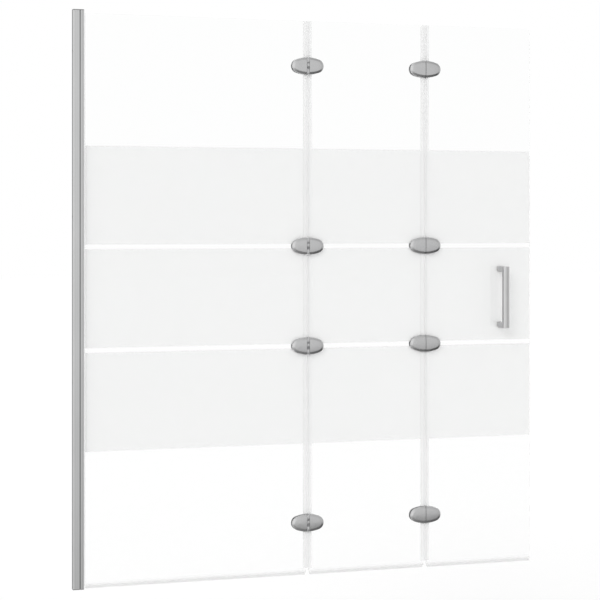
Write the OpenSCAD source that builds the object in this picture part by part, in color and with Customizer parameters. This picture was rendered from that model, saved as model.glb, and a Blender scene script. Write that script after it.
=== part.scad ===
// Folding bath screen: one glass held in a wall profile and two narrower glasses that fold on it in zigzag.
// X runs along the screen from the wall face, Z runs up from the foot of the wall profile.
// Y = 0 is the middle of the glass. The handle stands out on the -Y side, and +Y is the bath side.

/* [Overall] */
// Distance from the wall face to the free edge of the last glass
screen_w = 1200; // [1150:5:1300]
// Height of the wall profile
screen_h = 1400; // [1350:5:1500]
// Distance from the wall face to the inner folding seam
seam_1 = 592; // [500:1:640]
// Distance from the wall face to the outer folding seam
seam_2 = 907; // [860:1:960]

/* [Glass] */
// Thickness of the safety glass
glass_t = 5; // [4:0.5:8]
// Height of the lower glass edge above the foot of the wall profile
glass_foot = 8; // [8:0.5:20]
// Distance of the upper glass edge below the top of the wall profile
glass_drop = 8; // [4:0.5:20]
// Gap between the edges of two neighbouring glasses
seam_gap = 8; // [7:0.5:12]
// Radius of the rounded glass corners
glass_corner_r = 3; // [1:0.5:6]

/* [Frosting] */
// Height of the lower edge of the lowest frosted band above the foot of the profile
band_z = 330; // [300:1:360]
// Height of each frosted band
band_h = 240; // [200:1:260]
// Height of each clear stripe between two bands
stripe_h = 11; // [6:0.5:20]
// Depth to which the bands are etched into the bath side of the glass
etch_d = 0.1; // [0.05:0.05:0.3]

/* [Wall profile] */
// Depth of the wall channel across the screen
channel_d = 20; // [18:0.5:36]
// Length of the wall channel's flanges, measured from the wall face
channel_w = 16; // [14:0.5:20]
// Wall thickness of both aluminium profiles
profile_t = 1.6; // [1.2:0.1:2]
// Radius of the wall channel's outer corners
channel_r = 3; // [1:0.5:5]
// Width of the glass channel's nose that stands out of the wall channel
nose_w = 9.6; // [8:0.2:14]
// Width of the shadow groove between the two profiles
groove_w = 2.3; // [1.5:0.1:5]
// Radius of the nose's rounded flanks
nose_r = 5.5; // [4:0.5:9]
// Clear width of the pocket that takes the glass and its gaskets
pocket_w = 8.4; // [8:0.2:9]
// Length of glass that stands in the pocket
glass_bite = 6; // [4:0.5:7]
// Sliding clearance between the two profiles, on each side
slide_clear = 0.15; // [0.1:0.05:0.3]
// Thickness of the end caps
cap_t = 2; // [1.5:0.5:4]
// Radius of the holes for the wall screws
wall_hole_r = 2.5; // [2:0.25:3]
// Distance of the end wall screws from the ends of the profile
wall_hole_end = 100; // [60:5:150]
// Distance between the two middle wall screws
wall_hole_mid = 400; // [200:10:600]
// Distance of the end locking screws from the ends of the profile
lock_end = 130; // [50:5:200]

/* [Seals] */
// Wall thickness of the clear plastic seals
seal_t = 1; // [0.8:0.1:1.2]
// Length of glass that a seam seal grips
seal_grip = 6.8; // [5:0.2:10]
// Distance by which a seam seal's lip stays short of the middle of the seam
lip_clear = 0.15; // [0.1:0.05:0.4]
// Height of glass that a bottom seal grips
foot_grip = 9; // [6:0.5:14]
// Clearance between a seal and the glass
seal_clear = 0.05; // [0.05:0.05:0.1]
// Distance that the bottom lip stays above the foot of the profile
drip_clear = 0.3; // [0.3:0.1:2]
// Width of the drip fin that leads water into the bath
drip_w = 4.5; // [3:0.5:5]
// Length by which a bottom seal's end leans away from the middle of a seam at its foot
mitre_w = 6.8; // [4:0.2:9]

/* [Hinges] */
// Length of the oval hinge along the screen
hinge_l = 82; // [80:1:100]
// Height of the oval hinge
hinge_h = 43; // [42:1:54]
// Radius of the oval's round ends
hinge_end_r = 17.5; // [16:0.5:20.5]
// Thickness of a hinge plate
plate_t = 6.5; // [6:0.5:9]
// Width of the bevel round a hinge plate
bevel_w = 5.5; // [4:0.5:10]
// Depth of the bevel round a hinge plate
bevel_d = 2.2; // [1.6:0.2:4]
// Thickness of the pad between a hinge plate and the glass
pad_t = 1; // [0.5:0.25:1.5]
// Gap between the two plates on one side of a hinge
split_w = 0.7; // [0.5:0.1:1.2]
// Distance of the top hinges below the upper glass edge
hinge_top = 113; // [80:1:150]
// Distance of the inner bottom hinge above the lower glass edge
inner_foot = 123; // [80:1:160]
// Distance of the outer bottom hinge above the lower glass edge
outer_foot = 128; // [80:1:160]
// Radius of the pivot pin
pin_r = 1.75; // [1.5:0.05:2]
// Radius of the knuckles
knuckle_r = 3.4; // [3:0.1:4]
// Length of the barrel that the knuckles make up
barrel_l = 40; // [36:0.5:41]
// Height of the upper joint in the barrel above the middle of the hinge
joint_hi = 7.5; // [5:0.5:10]
// Distance of the lower joint in the barrel below the middle of the hinge
joint_lo = 5; // [4.5:0.5:9]
// Thickness of the thin bearing washer in the upper joint
washer_hi_t = 2; // [1:0.1:3]
// Height of the thick bearing sleeve in the lower joint, which carries the folding glass
washer_lo_t = 6; // [4:0.1:7]
// Running clearance of the pin, on the radius
pin_clear = 0.05; // [0.02:0.01:0.1]
// Clearance of the pin in the knuckles that hold it, on the radius
pin_seat = 0.01; // [0.01:0.005:0.02]
// Clearance between a knuckle and the recess that it turns in
knuckle_clear = 0.3; // [0.2:0.05:0.5]
// End clearance between a turning knuckle and its washers
end_clear = 0.1; // [0.05:0.05:0.2]
// Distance from the middle of the seam to a clamp screw
screw_x = 23; // [20:0.5:25]
// Shank radius of a clamp screw
screw_r = 3; // [2:0.25:3]
// Head radius of a clamp screw
screw_head_r = 5.6; // [4.5:0.1:6]
// Radius of the bush that holds a clamp screw in the glass
bush_r = 6.5; // [5:0.25:8]

/* [Handle] */
// Distance from the free glass edge to the middle of the handle
handle_inset = 84; // [60:0.5:120]
// Height of the middle of the handle above the foot of the profile
handle_z = 692.5; // [600:0.5:800]
// Distance between the handle's two fixing holes
handle_pitch = 145; // [96:1:200]
// Width of the grip bar
bar_w = 16; // [14:0.5:20]
// Depth of the grip bar's flat sides
bar_d = 10.5; // [8:0.5:16]
// Rise of the grip bar's rounded front
bar_crown = 3; // [1:0.5:4]
// Height of a handle post
post_h = 13.5; // [12:0.5:18]
// Clear depth between the glass and the grip bar
finger_gap = 31; // [25:0.5:45]
// Thickness of the washers on both sides of the glass
handle_washer_t = 1; // [0.5:0.25:2]
// Radius of the round caps behind the glass
cap_r = 9; // [8.5:0.5:12]
// Height of the round caps behind the glass
cap_h = 3.5; // [3:0.25:6]
// Radius of the handle's fixing screws
handle_screw_r = 2.5; // [2:0.25:3]

/* [Hidden] */

$fn = 64;
// Overlap that makes a cut pass right through
eps = 1;

METAL = [0.72, 0.73, 0.74];
BRIGHT = [0.82, 0.83, 0.84];
CLEAR = [0.86, 0.93, 0.92, 0.35];
SOFT = [0.9, 0.91, 0.91, 0.6];
DARK = [0.25, 0.25, 0.26];
NYLON = [0.9, 0.9, 0.88];

// Glass edges
glass_top = screen_h - glass_drop;
glass_h = glass_top - glass_foot;
nose_x = channel_w + groove_w;
nose_end = nose_x + nose_w;
fixed_x0 = nose_end - glass_bite;
fixed_x1 = seam_1 - seam_gap / 2;
middle_x0 = seam_1 + seam_gap / 2;
middle_x1 = seam_2 - seam_gap / 2;
end_x0 = seam_2 + seam_gap / 2;
end_x1 = screen_w;
face_y = glass_t / 2;

// Heights of the four hinges of a seam: the middle two sit on the clear stripes
stripe_lo_z = band_z + band_h + stripe_h / 2;
stripe_hi_z = stripe_lo_z + band_h + stripe_h;
row_top = glass_top - hinge_top;
row_upper = stripe_hi_z;
row_lower = stripe_lo_z;
inner_rows = [glass_foot + inner_foot, row_lower, row_upper, row_top];
outer_rows = [glass_foot + outer_foot, row_lower, row_upper, row_top];

// Seals: wall of the hollow lip, and the gap to a hinge or to the bottom seal
lip_t = 0.8 * seal_t;
seal_end_gap = 0.5;
mitre_top = 0.5;

// Oval plan: round ends of radius hinge_end_r about (end_cx, 0) and wide flanks of radius flank_r.
// The flanks run end_lap inside a smooth join, so that the two cross at a clear angle.
end_cx = hinge_l / 2 - hinge_end_r;
end_lap = 0.03;
join_r = hinge_end_r - end_lap;
flank_r = (end_cx * end_cx + hinge_h * hinge_h / 4 - join_r * join_r) / (hinge_h - 2 * join_r);
flank_cy = flank_r - hinge_h / 2;

// Depths of a hinge from the middle of the glass
plate_y = face_y + pad_t;
plate_face = plate_y + plate_t;
axis_y = plate_face + knuckle_clear;

// Knuckles: the wall leaf's knuckles are the outer two, the fold leaf's is the middle one
low_end = -joint_lo - washer_lo_t / 2;
high_end = joint_hi + washer_hi_t / 2;
mid_lo = low_end + washer_lo_t + end_clear;
mid_hi = high_end - washer_hi_t - end_clear;
washer_r = knuckle_r - 0.1;

// Countersunk clamp screw: its head lies head_sink below the plate's face, and 1.5 mm of metal covers its tip
head_d = screw_head_r - screw_r;
head_sink = 0.1;
thread_d = plate_t - 1.5;
thread_end = 0.5;
thread_seat = 0.02;
head_seat = 0.05;
bush_seat = 0.1;
socket_r = 2.3;
socket_d = 2.4;

// Height of the rib between the glass edges, and the pads' distance from the plates' rim and the glass edge
spine_h = hinge_h - 10;
pad_inset = 1.5;
pad_edge = 0.5;

// Handle
handle_x = screen_w - handle_inset;
post_front = face_y + handle_washer_t;
bar_back = face_y + finger_gap;
bar_front = bar_back + bar_d;
crown_r = (bar_w * bar_w / 4 + bar_crown * bar_crown) / (2 * bar_crown);
handle_l = handle_pitch + post_h;
handle_washer_r = post_h / 2 - 0.5;
collar_r = handle_screw_r + 1.5;
collar_seat = 0.2;
handle_thread_d = 12;
handle_head_r = handle_screw_r + 2;
handle_head_h = 2;
handle_socket_r = 1.6;
handle_socket_d = 1.4;
cap_chamfer = 1;

// Wall profile
half_d = channel_d / 2;
tail_y = half_d - profile_t - slide_clear;
web_t = profile_t + 0.4;
tail_x = web_t + 3;
pocket_x = fixed_x0 - 1.5;
chamber_y = pocket_w / 2 + profile_t;
plug_l = 6;
cap_top = cap_t - slide_clear;
body_z0 = cap_t;
body_h = screen_h - 2 * cap_t;
lock_rows = [lock_end, screen_h / 2, screen_h - lock_end];
wall_rows = [
    wall_hole_end, (screen_h - wall_hole_mid) / 2,
    (screen_h + wall_hole_mid) / 2, screen_h - wall_hole_end
];
lock_x = (tail_x + channel_w) / 2;
lock_tip_y = tail_y - 2 * profile_t;
lock_r = 1.9;
lock_head_r = 3.5;
lock_head_h = 2.2;
lock_slot_w = 0.8;
lock_seat = 0.05;

// Mouth lips of the clear gaskets
gasket_l = 3.6;
gasket_lip_t = 1;
gasket_lip_h = 0.6;
gasket_edge_t = 0.4;

// ---------------------------------------------------------------- wall profile

module channel_outline() {
    union() {
        translate([channel_r, -half_d]) square([channel_w - channel_r, channel_d]);
        translate([0, -half_d + channel_r]) square([channel_r + eps, channel_d - 2 * channel_r]);
        for (s = [-1, 1]) translate([channel_r, s * (half_d - channel_r)]) circle(channel_r);
    }
}

module nose_outline() {
    flank_x = nose_end - nose_r;
    intersection() {
        union() {
            translate([nose_x, -half_d]) square([max(flank_x - nose_x, 0), channel_d]);
            translate([flank_x, -half_d + nose_r]) square([nose_r, channel_d - 2 * nose_r]);
            for (s = [-1, 1]) translate([flank_x, s * (half_d - nose_r)]) circle(nose_r);
        }
        translate([nose_x, -half_d]) square([nose_w, channel_d]);
    }
}

module wall_channel() {
    inner_d = channel_d - 2 * profile_t;
    color(METAL) difference() {
        translate([0, 0, body_z0]) linear_extrude(body_h) difference() {
            channel_outline();
            translate([web_t, -inner_d / 2]) square([channel_w, inner_d]);
        }
        for (z = wall_rows) translate([-eps, 0, z]) rotate([0, 90, 0])
            cylinder(r = wall_hole_r, h = web_t + 2 * eps);
        for (z = lock_rows) translate([lock_x, tail_y, z]) rotate([-90, 0, 0])
            cylinder(r = lock_r + lock_seat, h = half_d - tail_y + eps);
    }
}

module glass_channel() {
    color(METAL) difference() {
        translate([0, 0, body_z0]) linear_extrude(body_h) difference() {
            union() {
                nose_outline();
                difference() {
                    translate([tail_x, -tail_y]) square([nose_x - tail_x + eps, 2 * tail_y]);
                    translate([tail_x - eps, profile_t - tail_y])
                        square([nose_x - profile_t - tail_x + eps, 2 * (tail_y - profile_t)]);
                }
            }
            translate([pocket_x, -pocket_w / 2]) square([nose_w, pocket_w]);
            for (s = [0, 1]) mirror([0, s]) intersection() {
                translate([nose_end - nose_r, half_d - nose_r]) circle(nose_r - profile_t);
                translate([nose_x + profile_t, chamber_y]) square([nose_w, channel_d]);
            }
        }
        for (z = lock_rows) translate([lock_x, lock_tip_y, z]) rotate([-90, 0, 0])
            cylinder(r = lock_r + lock_seat, h = half_d - lock_tip_y);
    }
}

// Two clear wedges that hold the fixed glass, each with a lip that covers the mouth of the pocket
module channel_gaskets() {
    inner = face_y + seal_clear;
    outer = pocket_w / 2 - seal_clear;
    lip_x = nose_end + slide_clear;
    color(SOFT) for (s = [0, 1]) mirror([0, s])
        translate([0, 0, glass_foot]) linear_extrude(glass_h) polygon([
            [fixed_x0, inner], [nose_end + gasket_l, inner], [nose_end + gasket_l, inner + gasket_edge_t],
            [lip_x + gasket_lip_t, outer + gasket_lip_h], [lip_x, outer + gasket_lip_h],
            [lip_x, outer], [fixed_x0, outer]
        ]);
}

module profile_cap() {
    linear_extrude(cap_top) difference() {
        union() {
            channel_outline();
            nose_outline();
            translate([channel_r, -tail_y]) square([nose_x - channel_r + eps, 2 * tail_y]);
        }
        translate([fixed_x0 + eps, -pocket_w / 2]) square([nose_w, pocket_w]);
    }
}

module cap_plug() {
    wall = web_t + slide_clear;
    translate([wall, -tail_y + profile_t + slide_clear])
        cube([nose_x - profile_t - slide_clear - wall, 2 * (tail_y - profile_t - slide_clear), plug_l]);
}

module profile_top_cap() {
    color(METAL) union() {
        translate([0, 0, screen_h - cap_top]) profile_cap();
        translate([0, 0, screen_h - plug_l - cap_t / 2]) cap_plug();
    }
}

module profile_bottom_cap() {
    color(METAL) union() {
        profile_cap();
        translate([0, 0, cap_t / 2]) cap_plug();
    }
}

module lock_screws() {
    color(BRIGHT) for (z = lock_rows) translate([lock_x, 0, z]) rotate([-90, 0, 0]) difference() {
        union() {
            translate([0, 0, half_d]) cylinder(r = lock_head_r, h = lock_head_h);
            translate([0, 0, lock_tip_y]) cylinder(r = lock_r, h = half_d - lock_tip_y + eps);
        }
        for (a = [0, 90]) translate([0, 0, half_d + lock_head_h]) rotate(a)
            cube([lock_head_r, lock_slot_w, lock_head_h], center = true);
    }
}

// ---------------------------------------------------------------- glass

// Pane between x0 and x1, standing on the lower glass line, with rounded corners where told
module pane_outline(x0, x1, round_left, round_right) {
    difference() {
        translate([x0, glass_foot]) square([x1 - x0, glass_h]);
        if (round_left) for (z = [glass_foot, glass_top]) corner_cut(x0, z, 1);
        if (round_right) for (z = [glass_foot, glass_top]) corner_cut(x1, z, -1);
    }
}

// The sliver that rounding takes off a pane's corner at (x, z); side is 1 on a left corner
module corner_cut(x, z, side) {
    up = z < screen_h / 2 ? 1 : -1;
    difference() {
        translate([x - glass_corner_r, z - glass_corner_r]) square(2 * glass_corner_r);
        translate([x + side * glass_corner_r, z + up * glass_corner_r]) circle(glass_corner_r);
        translate([x - glass_corner_r, z + up * glass_corner_r - (up > 0 ? 0 : 2 * glass_corner_r)])
            square(2 * glass_corner_r);
        translate([x + side * glass_corner_r - (side > 0 ? 0 : 2 * glass_corner_r), z - glass_corner_r])
            square(2 * glass_corner_r);
    }
}

module etched_bands() {
    for (i = [0 : 2]) translate([-eps, face_y - etch_d, band_z + i * (band_h + stripe_h)])
        cube([screen_w + 2 * eps, glass_t, band_h]);
}

module glass_hole(x, z, r) {
    translate([x, 0, z]) rotate([90, 0, 0]) cylinder(r = r, h = glass_t + 2 * eps, center = true);
}

module hinge_holes(x, rows) {
    for (z = rows) glass_hole(x, z, bush_r + bush_seat);
}

module sheet() {
    translate([0, face_y, 0]) rotate([90, 0, 0]) linear_extrude(glass_t) children();
}

module fixed_glass() {
    color(CLEAR) difference() {
        sheet() pane_outline(fixed_x0, fixed_x1, false, true);
        etched_bands();
        hinge_holes(seam_1 - screw_x, inner_rows);
    }
}

module middle_glass() {
    color(CLEAR) difference() {
        sheet() pane_outline(middle_x0, middle_x1, true, true);
        etched_bands();
        hinge_holes(seam_1 + screw_x, inner_rows);
        hinge_holes(seam_2 - screw_x, outer_rows);
    }
}

module end_glass() {
    color(CLEAR) difference() {
        sheet() pane_outline(end_x0, end_x1, true, true);
        etched_bands();
        hinge_holes(seam_2 + screw_x, outer_rows);
        for (s = [-1, 1]) glass_hole(handle_x, handle_z + s * handle_pitch / 2, collar_r + collar_seat);
    }
}

// ---------------------------------------------------------------- seals

// Section of a seam seal: a grip on the glass edge at x = 0, whose glass lies at -x, and a hollow round lip
module seam_section() {
    grip_y = face_y + seal_clear;
    lip_x = seal_clear + seal_t;
    lip_r = seam_gap / 2 - lip_clear - lip_x;
    difference() {
        translate([-seal_grip, -grip_y - seal_t]) square([seal_grip + lip_x, 2 * (grip_y + seal_t)]);
        translate([-seal_grip - eps, -grip_y]) square([seal_grip + eps + seal_clear, 2 * grip_y]);
    }
    difference() {
        translate([lip_x, 0]) circle(lip_r);
        translate([lip_x, 0]) circle(lip_r - lip_t);
        translate([lip_x - 2 * lip_r, -lip_r]) square([2 * lip_r, 2 * lip_r]);
    }
}

// Seal lengths from the bottom seal up to the glass top, left out where a hinge sits
module seam_seal(x, side, rows) {
    cut = hinge_h / 2 + seal_end_gap;
    low = concat([glass_foot + foot_grip + seal_end_gap], [for (z = rows) z + cut]);
    high = concat([for (z = rows) z - cut], [glass_top]);
    color(SOFT) for (i = [0 : len(low) - 1]) translate([x, 0, low[i]]) rotate(side > 0 ? 0 : 180)
        linear_extrude(high[i] - low[i]) seam_section();
}

module fixed_seam_seal() {
    seam_seal(fixed_x1, 1, inner_rows);
}

module middle_inner_seal() {
    seam_seal(middle_x0, -1, inner_rows);
}

module middle_outer_seal() {
    seam_seal(middle_x1, 1, outer_rows);
}

module end_seam_seal() {
    seam_seal(end_x0, -1, outer_rows);
}

// Section of a bottom seal across the screen: a grip, a soft lip under it and a fin to the bath side
module foot_section() {
    grip_y = face_y + seal_clear;
    out_y = grip_y + seal_t;
    lip_y = seal_t / 2;
    floor_z = glass_foot - seal_clear;
    web_z = floor_z - seal_t;
    top_z = floor_z + foot_grip;
    polygon([
        [-out_y, top_z], [-out_y, web_z], [-lip_y, web_z], [-lip_y, drip_clear], [lip_y, drip_clear],
        [lip_y, web_z], [grip_y, web_z], [grip_y + drip_w - lip_y, drip_clear],
        [grip_y + drip_w, drip_clear + seal_t], [out_y, web_z + lip_y], [out_y, top_z],
        [grip_y, top_z], [grip_y, floor_z], [-grip_y, floor_z], [-grip_y, top_z]
    ]);
}

module bottom_seal(x0, x1, lean_left, lean_right) {
    color(SOFT) difference() {
        translate([x0, 0, 0]) rotate([90, 0, 90]) linear_extrude(x1 - x0) foot_section();
        if (lean_left) end_mitre(x0, 1);
        if (lean_right) end_mitre(x1, -1);
    }
}

// Wedge that makes a bottom seal's end at x lean away from the seam; side is 1 on a left end.
// It starts mitre_top inside the end at the seal's upper edge.
module end_mitre(x, side) {
    top = glass_foot + foot_grip;
    step = (mitre_w - mitre_top) / (top - drip_clear) * eps;
    depth = 4 * (face_y + drip_w);
    translate([x, 0, 0]) rotate([90, 0, 0]) linear_extrude(depth, center = true) polygon([
        [-side * mitre_w, drip_clear - eps], [side * (mitre_w + step), drip_clear - eps],
        [side * (mitre_top - step), top + eps], [-side * mitre_w, top + eps]
    ]);
}

module fixed_bottom_seal() {
    bottom_seal(nose_end + gasket_l + seal_end_gap, seam_1 - lip_clear, false, true);
}

module middle_bottom_seal() {
    bottom_seal(seam_1 + lip_clear, seam_2 - lip_clear, true, true);
}

module end_bottom_seal() {
    bottom_seal(seam_2 + lip_clear, end_x1, true, false);
}

// ---------------------------------------------------------------- hinges
// A hinge is drawn about the middle of its seam with its pivot on the -Y side.
// Its wall leaf lies at -x and carries the outer knuckles, its fold leaf lies at +x and carries the middle one.

// Turned disc of radius r with an upright side and a bevel
module bevelled_disc(r) {
    rotate_extrude($fn = 240)
        polygon([[0, 0], [r, 0], [r, plate_t - bevel_d], [r - bevel_w, plate_t], [0, plate_t]]);
}

// Part of the plan between the two rays that run from each flank's centre through the centres of the ends
module flank_field() {
    polygon([
        [end_cx, 0], [3 * end_cx, 2 * flank_cy], [-3 * end_cx, 2 * flank_cy],
        [-end_cx, 0], [-3 * end_cx, -2 * flank_cy], [3 * end_cx, -2 * flank_cy]
    ]);
}

// Whole oval plate, flat side down on z = 0: two round ends, and between them the lens that two wide discs share
module oval_plate() {
    union() {
        for (s = [-1, 1]) translate([s * end_cx, 0, 0]) bevelled_disc(hinge_end_r);
        intersection() {
            translate([0, flank_cy, 0]) bevelled_disc(flank_r);
            translate([0, -flank_cy, 0]) bevelled_disc(flank_r);
            translate([0, 0, -eps]) linear_extrude(plate_t + 2 * eps) flank_field();
        }
    }
}

// Half of the oval on one side of the seam: side is -1 for the wall leaf, 1 for the fold leaf
module half_plate(side) {
    intersection() {
        translate([0, -plate_y, 0]) rotate([90, 0, 0]) oval_plate();
        translate([side > 0 ? split_w / 2 : -hinge_l - split_w / 2, -plate_face - eps, -hinge_h])
            cube([hinge_l, plate_t + 2 * eps, 2 * hinge_h]);
    }
}

// Rib between the glass edges, which keeps the two plates of a leaf square to each other
module spine(side) {
    rib_w = seam_gap / 2 - split_w / 2 - seal_clear;
    translate([side > 0 ? split_w / 2 : -split_w / 2 - rib_w, -plate_y - eps, -spine_h / 2])
        cube([rib_w, 2 * plate_y + eps - seal_clear, spine_h]);
}

module barrel(z0, z1, r) {
    translate([0, -axis_y, z0]) cylinder(r = r, h = z1 - z0);
}

// Blind hole that a clamp screw's thread bites in, opening on the glass side
module thread_hole(side) {
    translate([side * screw_x, -plate_y + eps, 0]) rotate([90, 0, 0])
        cylinder(r = screw_r + thread_seat, h = thread_d + eps);
}

// Through hole with its countersink on the outer face
module sunk_hole(side) {
    translate([side * screw_x, 0, 0]) rotate([90, 0, 0]) {
        cylinder(r = screw_r + head_seat, h = plate_face + eps);
        translate([0, 0, plate_face - head_sink - head_d]) cylinder(
            r1 = screw_r + head_seat, r2 = screw_head_r + head_seat, h = head_d
        );
        translate([0, 0, plate_face - head_sink]) cylinder(r = screw_head_r + head_seat, h = head_sink + eps);
    }
}

// Knuckled leaf that carries the two outer knuckles and holds the pin
module outer_knuckle_leaf(sunk) {
    difference() {
        union() {
            half_plate(-1);
            spine(-1);
            barrel(high_end, barrel_l / 2, knuckle_r);
            barrel(-barrel_l / 2, low_end, knuckle_r);
        }
        barrel(low_end, high_end, knuckle_r + knuckle_clear);
        barrel(-hinge_h, hinge_h, pin_r + pin_seat);
        if (sunk) sunk_hole(-1);
        if (!sunk) thread_hole(-1);
    }
}

// Knuckled leaf that carries the middle knuckle and turns on the pin
module mid_knuckle_leaf(sunk) {
    difference() {
        union() {
            difference() {
                half_plate(1);
                barrel(-hinge_h, hinge_h, knuckle_r + knuckle_clear);
            }
            intersection() {
                half_plate(1);
                barrel(mid_lo, mid_hi, knuckle_r + 2 * knuckle_clear);
            }
            spine(1);
            barrel(mid_lo, mid_hi, knuckle_r);
        }
        barrel(-hinge_h, hinge_h, pin_r + pin_clear);
        if (sunk) sunk_hole(1);
        if (!sunk) thread_hole(1);
    }
}

// Plain half plate on the side away from the pivot
module plain_plate(side, sunk) {
    mirror([0, 1, 0]) difference() {
        half_plate(side);
        if (sunk) sunk_hole(side);
        if (!sunk) thread_hole(side);
    }
}

module clamp_screw(side) {
    tip = plate_y + thread_d - thread_end;
    head_z = plate_face - head_sink;
    translate([side * screw_x, 0, 0]) rotate([-90, 0, 0]) difference() {
        union() {
            translate([0, 0, -tip]) cylinder(r = screw_r, h = tip + head_z);
            translate([0, 0, head_z - head_d]) cylinder(r1 = screw_r, r2 = screw_head_r, h = head_d);
        }
        translate([0, 0, head_z - socket_d]) cylinder(r = socket_r, h = socket_d + eps, $fn = 6);
    }
}

// Pads between the plates and the glass of one leaf, one on each face
module leaf_pads(side) {
    near = seam_gap / 2 + pad_edge;
    for (m = [0, 1]) mirror([0, m, 0]) translate([0, -face_y, 0]) rotate([90, 0, 0])
        linear_extrude(pad_t) difference() {
            intersection() {
                union() {
                    translate([side * end_cx, 0]) circle(hinge_end_r - pad_inset);
                    intersection() {
                        translate([0, flank_cy]) circle(flank_r - pad_inset, $fn = 240);
                        translate([0, -flank_cy]) circle(flank_r - pad_inset, $fn = 240);
                        flank_field();
                    }
                }
                translate([side > 0 ? near : -hinge_l, -hinge_h]) square([hinge_l - near, 2 * hinge_h]);
            }
            translate([side * screw_x, 0]) circle(bush_r + bush_seat);
        }
}

// Plastic bush round a clamp screw, as long as the glass and its two pads
module leaf_bush(side) {
    translate([side * screw_x, 0, 0]) rotate([90, 0, 0]) difference() {
        cylinder(r = bush_r, h = 2 * plate_y, center = true);
        cylinder(r = screw_r + bush_seat, h = 2 * plate_y + eps, center = true);
    }
}

module pivot_pin() {
    translate([0, -axis_y, -barrel_l / 2]) cylinder(r = pin_r, h = barrel_l);
}

module bearing_washers() {
    difference() {
        union() {
            barrel(low_end, low_end + washer_lo_t, washer_r);
            barrel(high_end - washer_hi_t, high_end, washer_r);
        }
        barrel(low_end - eps, high_end + eps, pin_r + pin_seat);
    }
}

// The inner hinges turn on the handle's side, so panel two folds to that side
module inner_hinge(z) {
    translate([seam_1, 0, z]) children();
}

// The outer hinges are the same ones turned round, so panel three folds to the bath side
module outer_hinge(z) {
    translate([seam_2, 0, z]) rotate(180) children();
}

module inner_top_wall_leaf() {
    color(METAL) inner_hinge(row_top) outer_knuckle_leaf(false);
}

module inner_upper_wall_leaf() {
    color(METAL) inner_hinge(row_upper) outer_knuckle_leaf(false);
}

module inner_lower_wall_leaf() {
    color(METAL) inner_hinge(row_lower) outer_knuckle_leaf(false);
}

module inner_bottom_wall_leaf() {
    color(METAL) inner_hinge(inner_rows[0]) outer_knuckle_leaf(false);
}

module inner_top_fold_leaf() {
    color(METAL) inner_hinge(row_top) mid_knuckle_leaf(false);
}

module inner_upper_fold_leaf() {
    color(METAL) inner_hinge(row_upper) mid_knuckle_leaf(false);
}

module inner_lower_fold_leaf() {
    color(METAL) inner_hinge(row_lower) mid_knuckle_leaf(false);
}

module inner_bottom_fold_leaf() {
    color(METAL) inner_hinge(inner_rows[0]) mid_knuckle_leaf(false);
}

module inner_wall_back_plates() {
    color(METAL) for (z = inner_rows) inner_hinge(z) plain_plate(-1, true);
}

module inner_fold_back_plates() {
    color(METAL) for (z = inner_rows) inner_hinge(z) plain_plate(1, true);
}

module inner_pins() {
    color(BRIGHT) for (z = inner_rows) inner_hinge(z) pivot_pin();
}

module inner_bearing_washers() {
    color(DARK) for (z = inner_rows) inner_hinge(z) bearing_washers();
}

module inner_wall_clamp_screws() {
    color(BRIGHT) for (z = inner_rows) inner_hinge(z) clamp_screw(-1);
}

module inner_fold_clamp_screws() {
    color(BRIGHT) for (z = inner_rows) inner_hinge(z) clamp_screw(1);
}

module inner_wall_pads() {
    color(DARK) for (z = inner_rows) inner_hinge(z) leaf_pads(-1);
}

module inner_fold_pads() {
    color(DARK) for (z = inner_rows) inner_hinge(z) leaf_pads(1);
}

module inner_wall_bushes() {
    color(NYLON) for (z = inner_rows) inner_hinge(z) leaf_bush(-1);
}

module inner_fold_bushes() {
    color(NYLON) for (z = inner_rows) inner_hinge(z) leaf_bush(1);
}

module outer_top_wall_leaf() {
    color(METAL) outer_hinge(row_top) mid_knuckle_leaf(true);
}

module outer_upper_wall_leaf() {
    color(METAL) outer_hinge(row_upper) mid_knuckle_leaf(true);
}

module outer_lower_wall_leaf() {
    color(METAL) outer_hinge(row_lower) mid_knuckle_leaf(true);
}

module outer_bottom_wall_leaf() {
    color(METAL) outer_hinge(outer_rows[0]) mid_knuckle_leaf(true);
}

module outer_top_fold_leaf() {
    color(METAL) outer_hinge(row_top) outer_knuckle_leaf(true);
}

module outer_upper_fold_leaf() {
    color(METAL) outer_hinge(row_upper) outer_knuckle_leaf(true);
}

module outer_lower_fold_leaf() {
    color(METAL) outer_hinge(row_lower) outer_knuckle_leaf(true);
}

module outer_bottom_fold_leaf() {
    color(METAL) outer_hinge(outer_rows[0]) outer_knuckle_leaf(true);
}

module outer_wall_front_plates() {
    color(METAL) for (z = outer_rows) outer_hinge(z) plain_plate(1, false);
}

module outer_fold_front_plates() {
    color(METAL) for (z = outer_rows) outer_hinge(z) plain_plate(-1, false);
}

module outer_pins() {
    color(BRIGHT) for (z = outer_rows) outer_hinge(z) pivot_pin();
}

module outer_bearing_washers() {
    color(DARK) for (z = outer_rows) outer_hinge(z) bearing_washers();
}

// The outer hinges' screws also go in from the bath side, which is the pivot side there
module outer_wall_clamp_screws() {
    color(BRIGHT) for (z = outer_rows) outer_hinge(z) mirror([0, 1, 0]) clamp_screw(1);
}

module outer_fold_clamp_screws() {
    color(BRIGHT) for (z = outer_rows) outer_hinge(z) mirror([0, 1, 0]) clamp_screw(-1);
}

module outer_wall_pads() {
    color(DARK) for (z = outer_rows) outer_hinge(z) leaf_pads(1);
}

module outer_fold_pads() {
    color(DARK) for (z = outer_rows) outer_hinge(z) leaf_pads(-1);
}

module outer_wall_bushes() {
    color(NYLON) for (z = outer_rows) outer_hinge(z) leaf_bush(1);
}

module outer_fold_bushes() {
    color(NYLON) for (z = outer_rows) outer_hinge(z) leaf_bush(-1);
}

// ---------------------------------------------------------------- handle

module at_posts() {
    for (s = [-1, 1]) translate([handle_x, 0, handle_z + s * handle_pitch / 2]) rotate([90, 0, 0]) children();
}

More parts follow.
